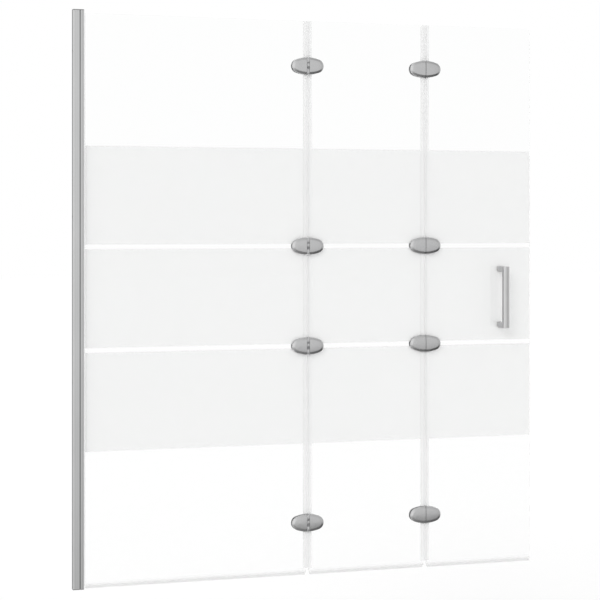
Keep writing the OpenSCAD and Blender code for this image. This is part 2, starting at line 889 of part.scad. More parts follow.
// Grip bar: flat sides and back, and a gently rounded front
module handle_bar() {
    color(METAL) translate([handle_x, 0, handle_z - handle_l / 2]) linear_extrude(handle_l) union() {
        translate([-bar_w / 2, -bar_front]) square([bar_w, bar_d]);
        intersection() {
            translate([0, -bar_front - bar_crown + crown_r]) circle(crown_r, $fn = 180);
            translate([-bar_w / 2, -bar_front - bar_crown - eps]) square([bar_w, bar_crown + 2 * eps]);
        }
    }
}

module handle_posts() {
    color(METAL) at_posts() difference() {
        translate([-bar_w / 2, -post_h / 2, post_front]) cube([bar_w, post_h, bar_back - post_front]);
        translate([0, 0, post_front - eps])
            cylinder(r = handle_screw_r + thread_seat, h = handle_thread_d + eps);
    }
}

// A washer with a collar that centres the screw in the glass hole
module collar_washer(r) {
    difference() {
        union() {
            translate([0, 0, face_y]) cylinder(r = r, h = handle_washer_t);
            translate([0, 0, seal_clear]) cylinder(r = collar_r, h = face_y + eps - seal_clear);
        }
        cylinder(r = handle_screw_r + bush_seat, h = face_y + handle_washer_t + eps);
    }
}

module handle_washers() {
    color(SOFT) at_posts() {
        collar_washer(handle_washer_r);
        mirror([0, 0, 1]) collar_washer(cap_r - cap_chamfer);
    }
}

module handle_screws() {
    head_z = -post_front;
    shank_l = 2 * post_front + handle_thread_d - thread_end;
    color(BRIGHT) at_posts() difference() {
        union() {
            translate([0, 0, head_z - handle_head_h]) cylinder(r = handle_head_r, h = handle_head_h);
            translate([0, 0, head_z - eps]) cylinder(r = handle_screw_r, h = shank_l + eps);
        }
        translate([0, 0, head_z - handle_head_h - eps])
            cylinder(r = handle_socket_r, h = handle_socket_d + eps, $fn = 6);
    }
}

module handle_caps() {
    inner = post_front + seal_clear;
    color(METAL) at_posts() mirror([0, 0, 1]) difference() {
        union() {
            translate([0, 0, inner]) cylinder(r = cap_r, h = cap_h - cap_chamfer);
            translate([0, 0, inner + cap_h - cap_chamfer])
                cylinder(r1 = cap_r, r2 = cap_r - cap_chamfer, h = cap_chamfer);
        }
        translate([0, 0, inner - eps])
            cylinder(r = handle_head_r + bush_seat, h = handle_head_h + bush_seat + eps);
    }
}

wall_channel();
glass_channel();
channel_gaskets();
profile_top_cap();
profile_bottom_cap();
lock_screws();
fixed_glass();
fixed_seam_seal();
fixed_bottom_seal();
middle_glass();
middle_inner_seal();
middle_outer_seal();
middle_bottom_seal();
end_glass();
end_seam_seal();
end_bottom_seal();
handle_bar();
handle_posts();
handle_washers();
handle_screws();
handle_caps();
inner_top_wall_leaf();
inner_upper_wall_leaf();
inner_lower_wall_leaf();
inner_bottom_wall_leaf();
inner_top_fold_leaf();
inner_upper_fold_leaf();
inner_lower_fold_leaf();
inner_bottom_fold_leaf();
inner_wall_back_plates();
inner_fold_back_plates();
inner_pins();
inner_bearing_washers();
inner_wall_clamp_screws();
inner_fold_clamp_screws();
inner_wall_pads();
inner_fold_pads();
inner_wall_bushes();
inner_fold_bushes();
outer_top_wall_leaf();
outer_upper_wall_leaf();
outer_lower_wall_leaf();
outer_bottom_wall_leaf();
outer_top_fold_leaf();
outer_upper_fold_leaf();
outer_lower_fold_leaf();
outer_bottom_fold_leaf();
outer_wall_front_plates();
outer_fold_front_plates();
outer_pins();
outer_bearing_washers();
outer_wall_clamp_screws();
outer_fold_clamp_screws();
outer_wall_pads();
outer_fold_pads();
outer_wall_bushes();
outer_fold_bushes();
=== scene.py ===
"""Folding bath screen: the finishes, the refined pieces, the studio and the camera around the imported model.

All lengths are in metres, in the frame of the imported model: X runs along the screen from the wall profile's
back, Z runs up, and the handle stands on the -Y side of the glass.
"""

import logging
import math
from dataclasses import dataclass, field
from enum import Enum
from typing import Callable, Iterable, Sequence

import bmesh
import bpy
import numpy as np
from mathutils import Euler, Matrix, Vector

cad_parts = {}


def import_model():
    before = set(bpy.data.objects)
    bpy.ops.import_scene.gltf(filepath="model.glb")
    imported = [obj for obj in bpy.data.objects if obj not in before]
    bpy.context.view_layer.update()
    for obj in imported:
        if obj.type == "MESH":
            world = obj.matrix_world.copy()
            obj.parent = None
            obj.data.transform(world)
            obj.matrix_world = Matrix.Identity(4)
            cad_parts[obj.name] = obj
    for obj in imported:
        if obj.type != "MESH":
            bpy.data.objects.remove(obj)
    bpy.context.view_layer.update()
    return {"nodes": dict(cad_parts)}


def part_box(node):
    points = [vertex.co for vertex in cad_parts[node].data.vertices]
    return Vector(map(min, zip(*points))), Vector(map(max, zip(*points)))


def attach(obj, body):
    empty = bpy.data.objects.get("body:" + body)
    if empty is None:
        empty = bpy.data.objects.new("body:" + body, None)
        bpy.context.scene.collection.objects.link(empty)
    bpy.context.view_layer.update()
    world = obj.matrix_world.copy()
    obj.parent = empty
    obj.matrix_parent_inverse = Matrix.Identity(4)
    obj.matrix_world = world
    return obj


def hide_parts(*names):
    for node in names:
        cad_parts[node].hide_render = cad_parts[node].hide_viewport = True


LOG = logging.getLogger("bath_screen")
HINGE_ROWS = ("top", "upper", "lower", "bottom")
MM = 0.001
MERGE = 1e-7  # Points nearer to each other than this become one.

Colour = tuple[float, float, float]
Range = tuple[float, float]


class Slot(Enum):
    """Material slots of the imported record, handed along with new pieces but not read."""

    HINGE = "hinge_metal"
    HANDLE = "handle_metal"
    GLASS = "frosted_glass"


class Body(Enum):
    """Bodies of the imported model."""

    WALL = "wall_side"
    MIDDLE = "middle_panel"
    END = "end_panel"


class Axis(Enum):
    """Direction that a grain runs in, as the factor on the coordinates that its noise reads."""

    ALONG_Z = (1.0, 1.0, 0.012)
    EVEN = (1.0, 1.0, 1.0)


# ------------------------------------------------------------------ node helpers


class NodePad:
    """Adds nodes to one node tree and links them by socket name."""

    def __init__(self, tree: bpy.types.NodeTree) -> None:
        """Keeps the tree.

        Args:
            tree: The node tree that the nodes go into.
        """
        self.tree = tree

    def add(self, kind: str, **settings: object) -> bpy.types.Node:
        """Adds a node.

        Args:
            kind: The node's type, such as "ShaderNodeMath".
            **settings: Properties of the node.

        Returns:
            The new node.
        """
        node = self.tree.nodes.new(kind)
        for name, value in settings.items():
            setattr(node, name, value)
        return node

    def link(self, source: bpy.types.NodeSocket, target: bpy.types.NodeSocket) -> None:
        """Joins an output to an input."""
        self.tree.links.new(source, target)

    def feed(self, target: bpy.types.NodeSocket, value: object) -> None:
        """Links a socket's value, or sets it where it is a plain number.

        Args:
            target: The input to feed.
            value: An output socket, or a number or a tuple.
        """
        if isinstance(value, bpy.types.NodeSocket):
            self.link(value, target)
        else:
            target.default_value = value

    def maths(self, operation: str, *values: object, clamp: bool = False) -> bpy.types.NodeSocket:
        """A Math node.

        Args:
            operation: The operation's name.
            *values: Numbers or output sockets, in order.
            clamp: True if the result stays between 0 and 1.

        Returns:
            The node's output socket.
        """
        node = self.add("ShaderNodeMath", operation=operation, use_clamp=clamp)
        for socket, value in zip(node.inputs, values):
            self.feed(socket, value)
        return node.outputs[0]

    def span(self, value: object, low: float, high: float, to_low: float = 0.0, to_high: float = 1.0,
             smooth: bool = False) -> bpy.types.NodeSocket:
        """A Map Range node that turns low..high into to_low..to_high and stays inside them.

        Args:
            value: The number or socket to map.
            low: The value that becomes to_low.
            high: The value that becomes to_high.
            to_low: The result at low.
            to_high: The result at high.
            smooth: True for an S-shaped run.

        Returns:
            The node's output socket.
        """
        node = self.add("ShaderNodeMapRange", interpolation_type="SMOOTHSTEP" if smooth else "LINEAR")
        node.clamp = True
        for name, number in (("Value", value), ("From Min", low), ("From Max", high),
                             ("To Min", to_low), ("To Max", to_high)):
            self.feed(node.inputs[name], number)
        return node.outputs["Result"]

    def blend(self, share: object, first: object, second: object) -> bpy.types.NodeSocket:
        """A Mix node on colours.

        Args:
            share: How much of second shows.
            first: The colour at 0.
            second: The colour at 1.

        Returns:
            The mixed colour's socket.
        """
        node = self.add("ShaderNodeMix", data_type="RGBA")
        self.feed(node.inputs[0], share)
        self.feed(node.inputs[6], rgba(first) if isinstance(first, tuple) else first)
        self.feed(node.inputs[7], rgba(second) if isinstance(second, tuple) else second)
        return node.outputs[2]

    def place(self) -> bpy.types.NodeSocket:
        """The object coordinate, in metres."""
        return self.add("ShaderNodeTexCoord").outputs["Object"]

    def parts(self, vector: bpy.types.NodeSocket) -> Sequence[bpy.types.NodeSocket]:
        """The X, Y and Z parts of a vector."""
        node = self.add("ShaderNodeSeparateXYZ")
        self.link(vector, node.inputs[0])
        return node.outputs

    def facing(self) -> Sequence[bpy.types.NodeSocket]:
        """The X, Y and Z parts of the object normal."""
        return self.parts(self.add("ShaderNodeTexCoord").outputs["Normal"])


def rgba(colour: Colour) -> tuple[float, float, float, float]:
    """A colour with an alpha of 1."""
    return (*colour, 1.0)


def dimmed(colour: Colour, share: float) -> Colour:
    """A colour times a share."""
    return tuple(part * share for part in colour)


@dataclass(frozen=True)
class Ramp:
    """A run from one result to another between two values of its input, and level outside them."""

    start: float
    end: float
    first: float = 0.0
    last: float = 1.0
    smooth: bool = True

    def of(self, pad: NodePad, value: object) -> bpy.types.NodeSocket:
        """The ramp's result for a value, on a pad."""
        return pad.span(value, self.start, self.end, self.first, self.last, smooth=self.smooth)


@dataclass(frozen=True)
class Noise:
    """A noise texture, and the ramp that spreads the middle of its range to 0..1."""

    detail: float
    roughness: float
    spread: Ramp

    def place(self, pad: NodePad, point: bpy.types.NodeSocket,
              scale: bpy.types.NodeSocket) -> bpy.types.NodeSocket:
        """Adds the noise to a tree.

        Args:
            pad: The pad on the tree.
            point: The coordinates that it reads.
            scale: Its number of lumps in a metre.

        Returns:
            The noise, from 0 to 1.
        """
        node = pad.add("ShaderNodeTexNoise", noise_dimensions="3D")
        pad.link(point, node.inputs["Vector"])
        pad.link(scale, node.inputs["Scale"])
        node.inputs["Detail"].default_value = self.detail
        node.inputs["Roughness"].default_value = self.roughness
        return self.spread.of(pad, node.outputs[0])


LINES_NOISE = Noise(3.0, 0.62, Ramp(0.28, 0.72, smooth=False))
CLOUDS_NOISE = Noise(2.0, 0.5, Ramp(0.3, 0.7))
# Ramps on the size of a normal's Y part: 1 on surfaces square to the glass, and 1 on all that slant at all.
SQUARE_TO_GLASS = Ramp(0.25, 0.75, 1.0, 0.0)
SLANTED = Ramp(0.9, 0.985, 1.0, 0.0)


def make_group(name: str, inputs: Iterable[str], outputs: Iterable[str],
               fill: Callable[[NodePad, bpy.types.Node, bpy.types.Node], None]) -> bpy.types.NodeTree:
    """Builds a shader node group once, or finds it.

    Args:
        name: The group's name.
        inputs: Names of the numbers that go in.
        outputs: Names of the numbers that come out.
        fill: Adds the nodes between the group's input and output nodes.

    Returns:
        The node group.
    """
    found = bpy.data.node_groups.get(name)
    if found:
        return found
    tree = bpy.data.node_groups.new(name, "ShaderNodeTree")
    for label in inputs:
        tree.interface.new_socket(label, in_out="INPUT", socket_type="NodeSocketFloat")
    for label in outputs:
        tree.interface.new_socket(label, in_out="OUTPUT", socket_type="NodeSocketFloat")
    pad = NodePad(tree)
    fill(pad, pad.add("NodeGroupInput"), pad.add("NodeGroupOutput"))
    return tree


def grain_group(axis: Axis) -> bpy.types.NodeTree:
    """Grain of a worked metal or a moulded plastic: fine noise that is drawn out along one axis.

    Args:
        axis: The direction that the grain runs in.

    Returns:
        A group with the inputs Lines, the number of grain lines in a metre, and Clouds, the number of soft
        patches in a metre, and the outputs Grain and Cloud, each from 0 to 1.
    """

    def fill(pad: NodePad, source: bpy.types.Node, target: bpy.types.Node) -> None:
        """Adds two noises of different size, of which the finer reads coordinates shrunk along the axis.

        Args:
            pad: The pad on the group's tree.
            source: The group's input node.
            target: The group's output node.
        """
        stretch = pad.add("ShaderNodeMapping", vector_type="POINT")
        stretch.inputs["Scale"].default_value = axis.value
        pad.link(pad.place(), stretch.inputs["Vector"])
        grain = LINES_NOISE.place(pad, stretch.outputs[0], source.outputs["Lines"])
        pad.link(grain, target.inputs["Grain"])
        cloud = CLOUDS_NOISE.place(pad, pad.place(), source.outputs["Clouds"])
        pad.link(cloud, target.inputs["Cloud"])

    return make_group(f"grain_{axis.name.lower()}", ["Lines", "Clouds"], ["Grain", "Cloud"], fill)


def lean_group() -> bpy.types.NodeTree:
    """Tells a piece's bevels and rims from its broad faces by how far the surface turns away from Y.

    Returns:
        A group with the outputs Rim, 1 on surfaces square to the glass, and Bevel, 1 on slanted ones.
    """

    def fill(pad: NodePad, _: bpy.types.Node, target: bpy.types.Node) -> None:
        """Adds both ramps on the object normal, and takes the first off the second.

        Args:
            pad: The pad on the group's tree.
            target: The group's output node.
        """
        flat = pad.maths("ABSOLUTE", pad.facing()[1])
        rim = SQUARE_TO_GLASS.of(pad, flat)
        pad.link(rim, target.inputs["Rim"])
        pad.link(pad.maths("SUBTRACT", SLANTED.of(pad, flat), rim, clamp=True), target.inputs["Bevel"])

    return make_group("lean", [], ["Rim", "Bevel"], fill)


# ------------------------------------------------------------------ finishes


def new_material(name: str) -> tuple[bpy.types.Material, NodePad, bpy.types.Node, bpy.types.Node]:
    """Starts a material.

    Args:
        name: The material's name.

    Returns:
        The material, a pad on its tree, its Principled shader and its output node.
    """
    material = bpy.data.materials.new(name)
    material.use_nodes = True
    material.node_tree.nodes.clear()
    pad = NodePad(material.node_tree)
    shader = pad.add("ShaderNodeBsdfPrincipled")
    output = pad.add("ShaderNodeOutputMaterial")
    pad.link(shader.outputs[0], output.inputs["Surface"])
    return material, pad, shader, output


def set_plain(shader: bpy.types.Node, **values: float) -> None:
    """Sets plain numbers on a shader's own sockets, with _ for a space in a socket's name."""
    for name, value in values.items():
        shader.inputs[name.replace("_", " ")].default_value = value


def place_group(pad: NodePad, tree: bpy.types.NodeTree, **values: float) -> bpy.types.Node:
    """Places a node group in a tree and sets its inputs.

    Args:
        pad: The pad on the tree.
        tree: The group.
        **values: The value of each input.

    Returns:
        The group's node.
    """
    node = pad.add("ShaderNodeGroup", node_tree=tree)
    for name, value in values.items():
        node.inputs[name].default_value = value
    return node


def let_light_through(pad: NodePad, shader: bpy.types.Node, output: bpy.types.Node, colour: Colour) -> None:
    """Lets light reach what stands behind a clear piece straight through it, and so only once.

    Args:
        pad: The pad on the material's tree.
        shader: The Principled shader, which stays what is seen.
        output: The material's output node.
        colour: What the piece leaves of the light.
    """
    clear = pad.add("ShaderNodeBsdfTransparent")
    clear.inputs["Color"].default_value = rgba(colour)
    ray = pad.add("ShaderNodeLightPath").outputs
    shown = shader.outputs[0]
    for kind in ("Is Diffuse Ray", "Is Shadow Ray"):
        mix = pad.add("ShaderNodeMixShader")
        pad.link(ray[kind], mix.inputs[0])
        pad.link(shown, mix.inputs[1])
        pad.link(clear.outputs[0], mix.inputs[2])
        shown = mix.outputs[0]
    pad.link(shown, output.inputs["Surface"])


@dataclass(frozen=True)
class Grain:
    """How a finish's grain runs, how fine it is, and how deep and how strong its bump is."""

    axis: Axis
    lines: float
    clouds: float
    depth: float = 8e-6
    strength: float = 0.35

    def place(self, pad: NodePad) -> Sequence[bpy.types.NodeSocket]:
        """The outputs Grain and Cloud of the grain's group, placed in a tree."""
        return place_group(pad, grain_group(self.axis), Lines=self.lines, Clouds=self.clouds).outputs

    def bump(self, pad: NodePad, shader: bpy.types.Node, height: bpy.types.NodeSocket) -> None:
        """Feeds a shader's normal from a height.

        Args:
            pad: The pad on the material's tree.
            shader: The Principled shader.
            height: The height, from 0 to 1 of the grain's depth.
        """
        bump = pad.add("ShaderNodeBump")
        bump.inputs["Distance"].default_value = self.depth
        bump.inputs["Strength"].default_value = self.strength
        pad.link(height, bump.inputs["Height"])
        pad.link(bump.outputs[0], shader.inputs["Normal"])


@dataclass(frozen=True)
class ProfileFace:
    """What is painted on the wall profiles along X: painted highlights for the ribs, and painted shade in the
    groove between the two profiles.
    """

    groove: Range = (15.95 * MM, 18.4 * MM)
    groove_edge: float = 0.1 * MM
    # Colour and share of the painted shade in the groove.
    groove_shade_colour: Colour = (0.1, 0.1, 0.105)
    groove_shade_cover: float = 0.75
    first_rib: float = 3.1 * MM
    rib_pitch: float = 4.85 * MM
    # Colour and share of the painted highlights on the ribs.
    rib_highlight_colour: Colour = (0.95, 0.95, 0.95)
    rib_highlight_cover: float = 0.16

    def draw(self, pad: NodePad, x: bpy.types.NodeSocket, tone: bpy.types.NodeSocket) -> bpy.types.NodeSocket:
        """Paints shade into the groove, and paints highlights for the ribs before it as a cosine of X.

        Args:
            pad: The pad on the material's tree.
            x: The object coordinate along X.
            tone: The metal's colour.

        Returns:
            The colour with ribs and groove.
        """
        low, high = self.groove
        half = (high - low) / 2
        # Painted shade: the groove, a recess between the two profiles, is darkened.
        away = pad.maths("ABSOLUTE", pad.maths("SUBTRACT", x, (low + high) / 2))
        inside = pad.span(away, half - self.groove_edge, half + self.groove_edge, self.groove_shade_cover, 0.0)
        tone = pad.blend(inside, tone, self.groove_shade_colour)
        # Painted highlights: light stripes where the ribs would catch the light.
        turn = pad.maths("MULTIPLY", pad.maths("SUBTRACT", x, self.first_rib), 2 * math.pi / self.rib_pitch)
        before = pad.span(x, low - self.groove_edge, low, self.rib_highlight_cover, 0.0)
        crest = pad.maths("MULTIPLY", pad.span(pad.maths("COSINE", turn), -1.0, 1.0), before)
        return pad.blend(crest, tone, self.rib_highlight_colour)


@dataclass(frozen=True)
class MetalFinish:
    """Satin metal with a drawn or blasted grain, with a painted highlight on its bevels and painted shade on
    its sides.

    What stands farther than proud from the glass's middle gets painted shade too, which tones down the
    barrels' sheen.
    """

    name: str
    colour: Colour
    shade: Colour
    roughness: float
    rough_span: float
    grain: Grain
    # Share of painted shade on the surfaces square to the glass.
    painted_side_shade: float = 0.0
    proud: float = 1.0
    face: ProfileFace | None = None
    grain_share: float = 0.7
    cloud_share: float = 0.3
    # Colour and share of the painted highlight on bevels, then colour and share of the painted shade.
    painted_highlight_colour: Colour = (0.95, 0.95, 0.95)
    painted_bevel_highlight: float = 0.25
    painted_shade_colour: Colour = (0.3, 0.3, 0.31)
    painted_barrel_shade: float = 0.3
    proud_run: float = 0.2 * MM

    def build(self) -> bpy.types.Material:
        """Colour and roughness follow the grain and the soft patches, and the colour carries painted
        highlight and shade that follow the form.
        """
        material, pad, shader, _ = new_material(self.name)
        set_plain(shader, Metallic=1.0)
        grain = self.grain.place(pad)
        lean = place_group(pad, lean_group()).outputs
        mixed = pad.maths("MULTIPLY_ADD", grain["Grain"], self.grain_share,
                          pad.maths("MULTIPLY", grain["Cloud"], self.cloud_share))
        tone = pad.blend(mixed, self.shade, self.colour)
        # Painted highlight: slanted bevels are lightened towards a near white, as if they caught the light.
        tone = pad.blend(pad.maths("MULTIPLY", lean["Bevel"], self.painted_bevel_highlight), tone, self.painted_highlight_colour)
        # Painted shade: surfaces square to the glass are darkened, as if turned away from the light.
        tone = pad.blend(pad.maths("MULTIPLY", lean["Rim"], self.painted_side_shade), tone, self.painted_shade_colour)
        x, y, _ = pad.parts(pad.place())
        # Painted shade on what stands proud of the plates, the hinges' barrels, to tone down their sheen.
        barrel_shade = pad.span(pad.maths("ABSOLUTE", y), self.proud, self.proud + self.proud_run,
                           0.0, self.painted_barrel_shade)
        tone = pad.blend(barrel_shade, tone, self.painted_shade_colour)
        if self.face:
            tone = self.face.draw(pad, x, tone)
        pad.link(tone, shader.inputs["Base Color"])
        rough = pad.span(mixed, 0.0, 1.0, self.roughness + self.rough_span, self.roughness - self.rough_span)
        pad.link(rough, shader.inputs["Roughness"])
        self.grain.bump(pad, shader, grain["Grain"])
        return material


@dataclass(frozen=True)
class GlassFinish:
    """Polished float glass: faintly green where light runs along it, with slow roller waves in its faces."""

    name: str
    face: Colour
    edge: Colour
    edge_cover: float = 0.25
    edge_roughness: float = 0.16
    is_edge: Ramp = Ramp(0.3, 0.8, 1.0, 0.0, smooth=False)
    patch_dim: float = 0.998
    refraction: float = 1.45
    specular: float = 0.36
    waves: Grain = Grain(Axis.EVEN, 3.0, 30.0, 2e-5, 0.2)

    def build(self) -> bpy.types.Material:
        """Faces let nearly all light through, edges are tinted and ground a little duller."""
        material, pad, shader, output = new_material(self.name)
        set_plain(shader, Transmission_Weight=1.0, IOR=self.refraction, Specular_IOR_Level=self.specular)
        cut = self.is_edge.of(pad, pad.maths("ABSOLUTE", pad.facing()[1]))
        waves = self.waves.place(pad)
        face = pad.blend(waves["Cloud"], self.face, dimmed(self.face, self.patch_dim))
        pad.link(pad.blend(cut, face, self.edge), shader.inputs["Base Color"])
        pad.link(pad.span(cut, 0.0, 1.0, 0.0, self.edge_roughness), shader.inputs["Roughness"])
        pad.link(pad.span(cut, 0.0, 1.0, 1.0, self.edge_cover), shader.inputs["Alpha"])
        self.waves.bump(pad, shader, waves["Grain"])
        let_light_through(pad, shader, output, self.face)
        return material


@dataclass(frozen=True)
class FrostFinish:
    """Etched band: a fine white bloom in the glass face that dims what is behind it a little."""

    name: str
    colour: Colour
    cover: float
    cover_span: float
    grain_dim: float = 0.97
    roughness: Range = (0.55, 0.75)
    specular: float = 0.2
    grain: Grain = Grain(Axis.EVEN, 2600.0, 6.0, 1e-5, 0.3)

    def build(self) -> bpy.types.Material:
        """A thin diffusing skin, whose cover follows the etching's soft unevenness."""
        material, pad, shader, _ = new_material(self.name)
        set_plain(shader, Specular_IOR_Level=self.specular)
        grain = self.grain.place(pad)
        tone = pad.blend(grain["Grain"], self.colour, dimmed(self.colour, self.grain_dim))
        pad.link(tone, shader.inputs["Base Color"])
        pad.link(pad.span(grain["Grain"], 0.0, 1.0, *self.roughness), shader.inputs["Roughness"])
        cover = pad.span(grain["Cloud"], 0.0, 1.0, self.cover - self.cover_span, self.cover + self.cover_span)
        pad.link(cover, shader.inputs["Alpha"])
        self.grain.bump(pad, shader, grain["Grain"])
        return material


@dataclass(frozen=True)
class SealFinish:
    """Clear soft plastic seal, denser towards its foot, with the fine drawn lines of extrusion."""

    name: str
    colour: Colour
    cover: float
    foot_cover: float
    foot_z: float = 0.0
    fade_z: float = 14.0 * MM
    patch_cover: float = 0.02
    grain_dim: float = 0.985
    roughness: Range = (0.24, 0.36)
    refraction: float = 1.45
    specular: float = 0.4
    lets_through: Colour = (0.99, 0.99, 0.99)
    grain: Grain = Grain(Axis.ALONG_Z, 900.0, 5.0)

    def build(self) -> bpy.types.Material:
        """A see-through skin whose cover grows downwards from a given height to its foot."""
        material, pad, shader, output = new_material(self.name)
        set_plain(shader, IOR=self.refraction, Specular_IOR_Level=self.specular)
        grain = self.grain.place(pad)
        tone = pad.blend(grain["Grain"], self.colour, dimmed(self.colour, self.grain_dim))
        pad.link(tone, shader.inputs["Base Color"])
        pad.link(pad.span(grain["Cloud"], 0.0, 1.0, *self.roughness), shader.inputs["Roughness"])
        z = pad.parts(pad.place())[2]
        # Cover grows downwards to the foot, so the foot seal looks darker there.
        milk = pad.span(z, self.foot_z, self.fade_z, self.foot_cover, self.cover)
        pad.link(pad.maths("MULTIPLY_ADD", grain["Cloud"], self.patch_cover, milk), shader.inputs["Alpha"])
        let_light_through(pad, shader, output, self.lets_through)
        return material


@dataclass(frozen=True)
class MouldedFinish:
    """Moulded plastic or rubber with a fine leathery grain."""

    name: str
    colour: Colour
    shade: Colour
    roughness: float
    rough_span: float = 0.08
    grain: Grain = Grain(Axis.EVEN, 1800.0, 60.0, 1e-5, 0.4)

    def build(self) -> bpy.types.Material:
        """Colour, roughness and bump follow the grain."""
        material, pad, shader, _ = new_material(self.name)
        grain = self.grain.place(pad)
        pad.link(pad.blend(grain["Grain"], self.shade, self.colour), shader.inputs["Base Color"])
        rough = pad.span(grain["Cloud"], 0.0, 1.0, self.roughness - self.rough_span,
                         self.roughness + self.rough_span)
        pad.link(rough, shader.inputs["Roughness"])
        self.grain.bump(pad, shader, grain["Grain"])
        return material


class Finish(Enum):
    """Every finish of the screen."""

    # Painted shade on the sides and in the groove, painted highlights on the ribs and bevels.
    ALUMINIUM = MetalFinish(
        "anodised_aluminium", (0.68, 0.685, 0.685), (0.62, 0.625, 0.625), 0.32, 0.05,
        Grain(Axis.ALONG_Z, 1400.0, 4.0), painted_side_shade=0.35, face=ProfileFace())
    # Painted shade on the sides and the proud barrels, painted highlight on the bevels.
    HINGE = MetalFinish(
        "satin_plated_casting", (0.67, 0.672, 0.675), (0.61, 0.612, 0.615), 0.27, 0.04,
        Grain(Axis.EVEN, 2400.0, 40.0), painted_side_shade=0.2, proud=10.7 * MM)
    # Painted shade on the sides, painted highlight on the bevels.
    HANDLE = MetalFinish(
        "brushed_bar", (0.69, 0.69, 0.69), (0.62, 0.62, 0.62), 0.34, 0.05,
        Grain(Axis.ALONG_Z, 2200.0, 25.0), painted_side_shade=0.65)
    # Painted shade on the sides, painted highlight on the bevels.
    POST = MetalFinish(
        "turned_post", (0.69, 0.69, 0.69), (0.62, 0.62, 0.62), 0.34, 0.05,
        Grain(Axis.EVEN, 2200.0, 25.0), painted_side_shade=0.4)
    # Painted highlight on the bevels.
    STEEL = MetalFinish(
        "bright_steel", (0.8, 0.8, 0.81), (0.7, 0.7, 0.71), 0.2, 0.04,
        Grain(Axis.EVEN, 1800.0, 60.0, depth=6e-6))
    GLASS = GlassFinish("clear_glass", (0.995, 0.997, 0.996), (0.93, 0.955, 0.945))
    FROST = FrostFinish("etched_frost", (0.905, 0.905, 0.905), cover=0.46, cover_span=0.01)
    SEAL = SealFinish("clear_soft_seal", (0.895, 0.896, 0.896), cover=0.5, foot_cover=0.5)
    FOOT_SEAL = SealFinish("clear_foot_seal", (0.74, 0.742, 0.742), cover=0.0, foot_cover=0.32)
    GASKET = SealFinish("clear_gasket", (0.82, 0.822, 0.822), cover=0.05, foot_cover=0.05)
    BEARING = MouldedFinish("grey_bearing", (0.22, 0.22, 0.225), (0.17, 0.17, 0.175), 0.5)
    PAD = MouldedFinish("dark_rubber", (0.07, 0.07, 0.075), (0.045, 0.045, 0.05), 0.7)
    NYLON = MouldedFinish("white_nylon", (0.8, 0.8, 0.78), (0.74, 0.74, 0.72), 0.5)
    CAP = MouldedFinish("grey_end_cap", (0.24, 0.24, 0.245), (0.2, 0.2, 0.205), 0.45)


# ------------------------------------------------------------------ pieces


@dataclass
class Screen:
    """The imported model's nodes and what they are dressed in."""

    nodes: dict[str, bpy.types.Object]
    made: dict[Finish, bpy.types.Material] = field(default_factory=dict)

    def material(self, finish: Finish) -> bpy.types.Material:
        """The material of a finish, built the first time it is asked for."""
        if finish not in self.made:
            self.made[finish] = finish.value.build()
        return self.made[finish]

    def dress(self, finish: Finish, names: Iterable[str]) -> None:
        """Gives carried-over nodes a finish.

        Args:
            finish: The finish.
            names: The nodes.
        """
        for name in names:
            mesh = self.nodes[name].data
            mesh.materials.clear()
            mesh.materials.append(self.material(finish))

    def holding(self, *words: str) -> list[str]:
        """Names of the nodes that hold one of the given words."""
        return [n for n in sorted(self.nodes) if any(w in n for w in words)]

    def build(self) -> None:
        """Dresses every node. A later row wins over an earlier one, as the bottom seals' does."""
        for finish, words in (
                (Finish.ALUMINIUM, ("wall_channel", "glass_channel")),
                (Finish.CAP, ("profile_top_cap", "profile_bottom_cap")),
                (Finish.HINGE, ("_leaf", "_plates")),
                (Finish.HANDLE, ("handle_bar",)),
                (Finish.POST, ("handle_posts", "handle_caps")),
                (Finish.STEEL, ("screws", "_pins")),
                (Finish.SEAL, ("_seal", "handle_washers")),
                (Finish.FOOT_SEAL, ("bottom_seal",)),
                (Finish.GASKET, ("channel_gaskets",)),
                (Finish.PAD, ("_pads",)),
                (Finish.BEARING, ("bearing_washers",)),
                (Finish.NYLON, ("_bushes",)),
                (Finish.GLASS, ("_glass",))):
            names = self.holding(*words)
            self.dress(finish, names)
            LOG.info("%s: %s", finish.name.lower(), ", ".join(names))


def add_piece(name: str, verts: np.ndarray, faces: Sequence[Sequence[int]], material: bpy.types.Material,
              body: Body) -> bpy.types.Object:
    """Makes a mesh object that rides on a body.

    Args:
        name: The piece's name.
        verts: Its points, one row each.
        faces: The point numbers of each face.
        material: Its material.
        body: The body it rides on.

    Returns:
        The new object.
    """
    mesh = bpy.data.meshes.new(name)
    mesh.from_pydata(verts.tolist(), [], [list(f) for f in faces])
    mesh.materials.append(material)
    mesh.update()
    piece = bpy.data.objects.new(name, mesh)
    bpy.context.scene.collection.objects.link(piece)
    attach(piece, body.value)
    return piece


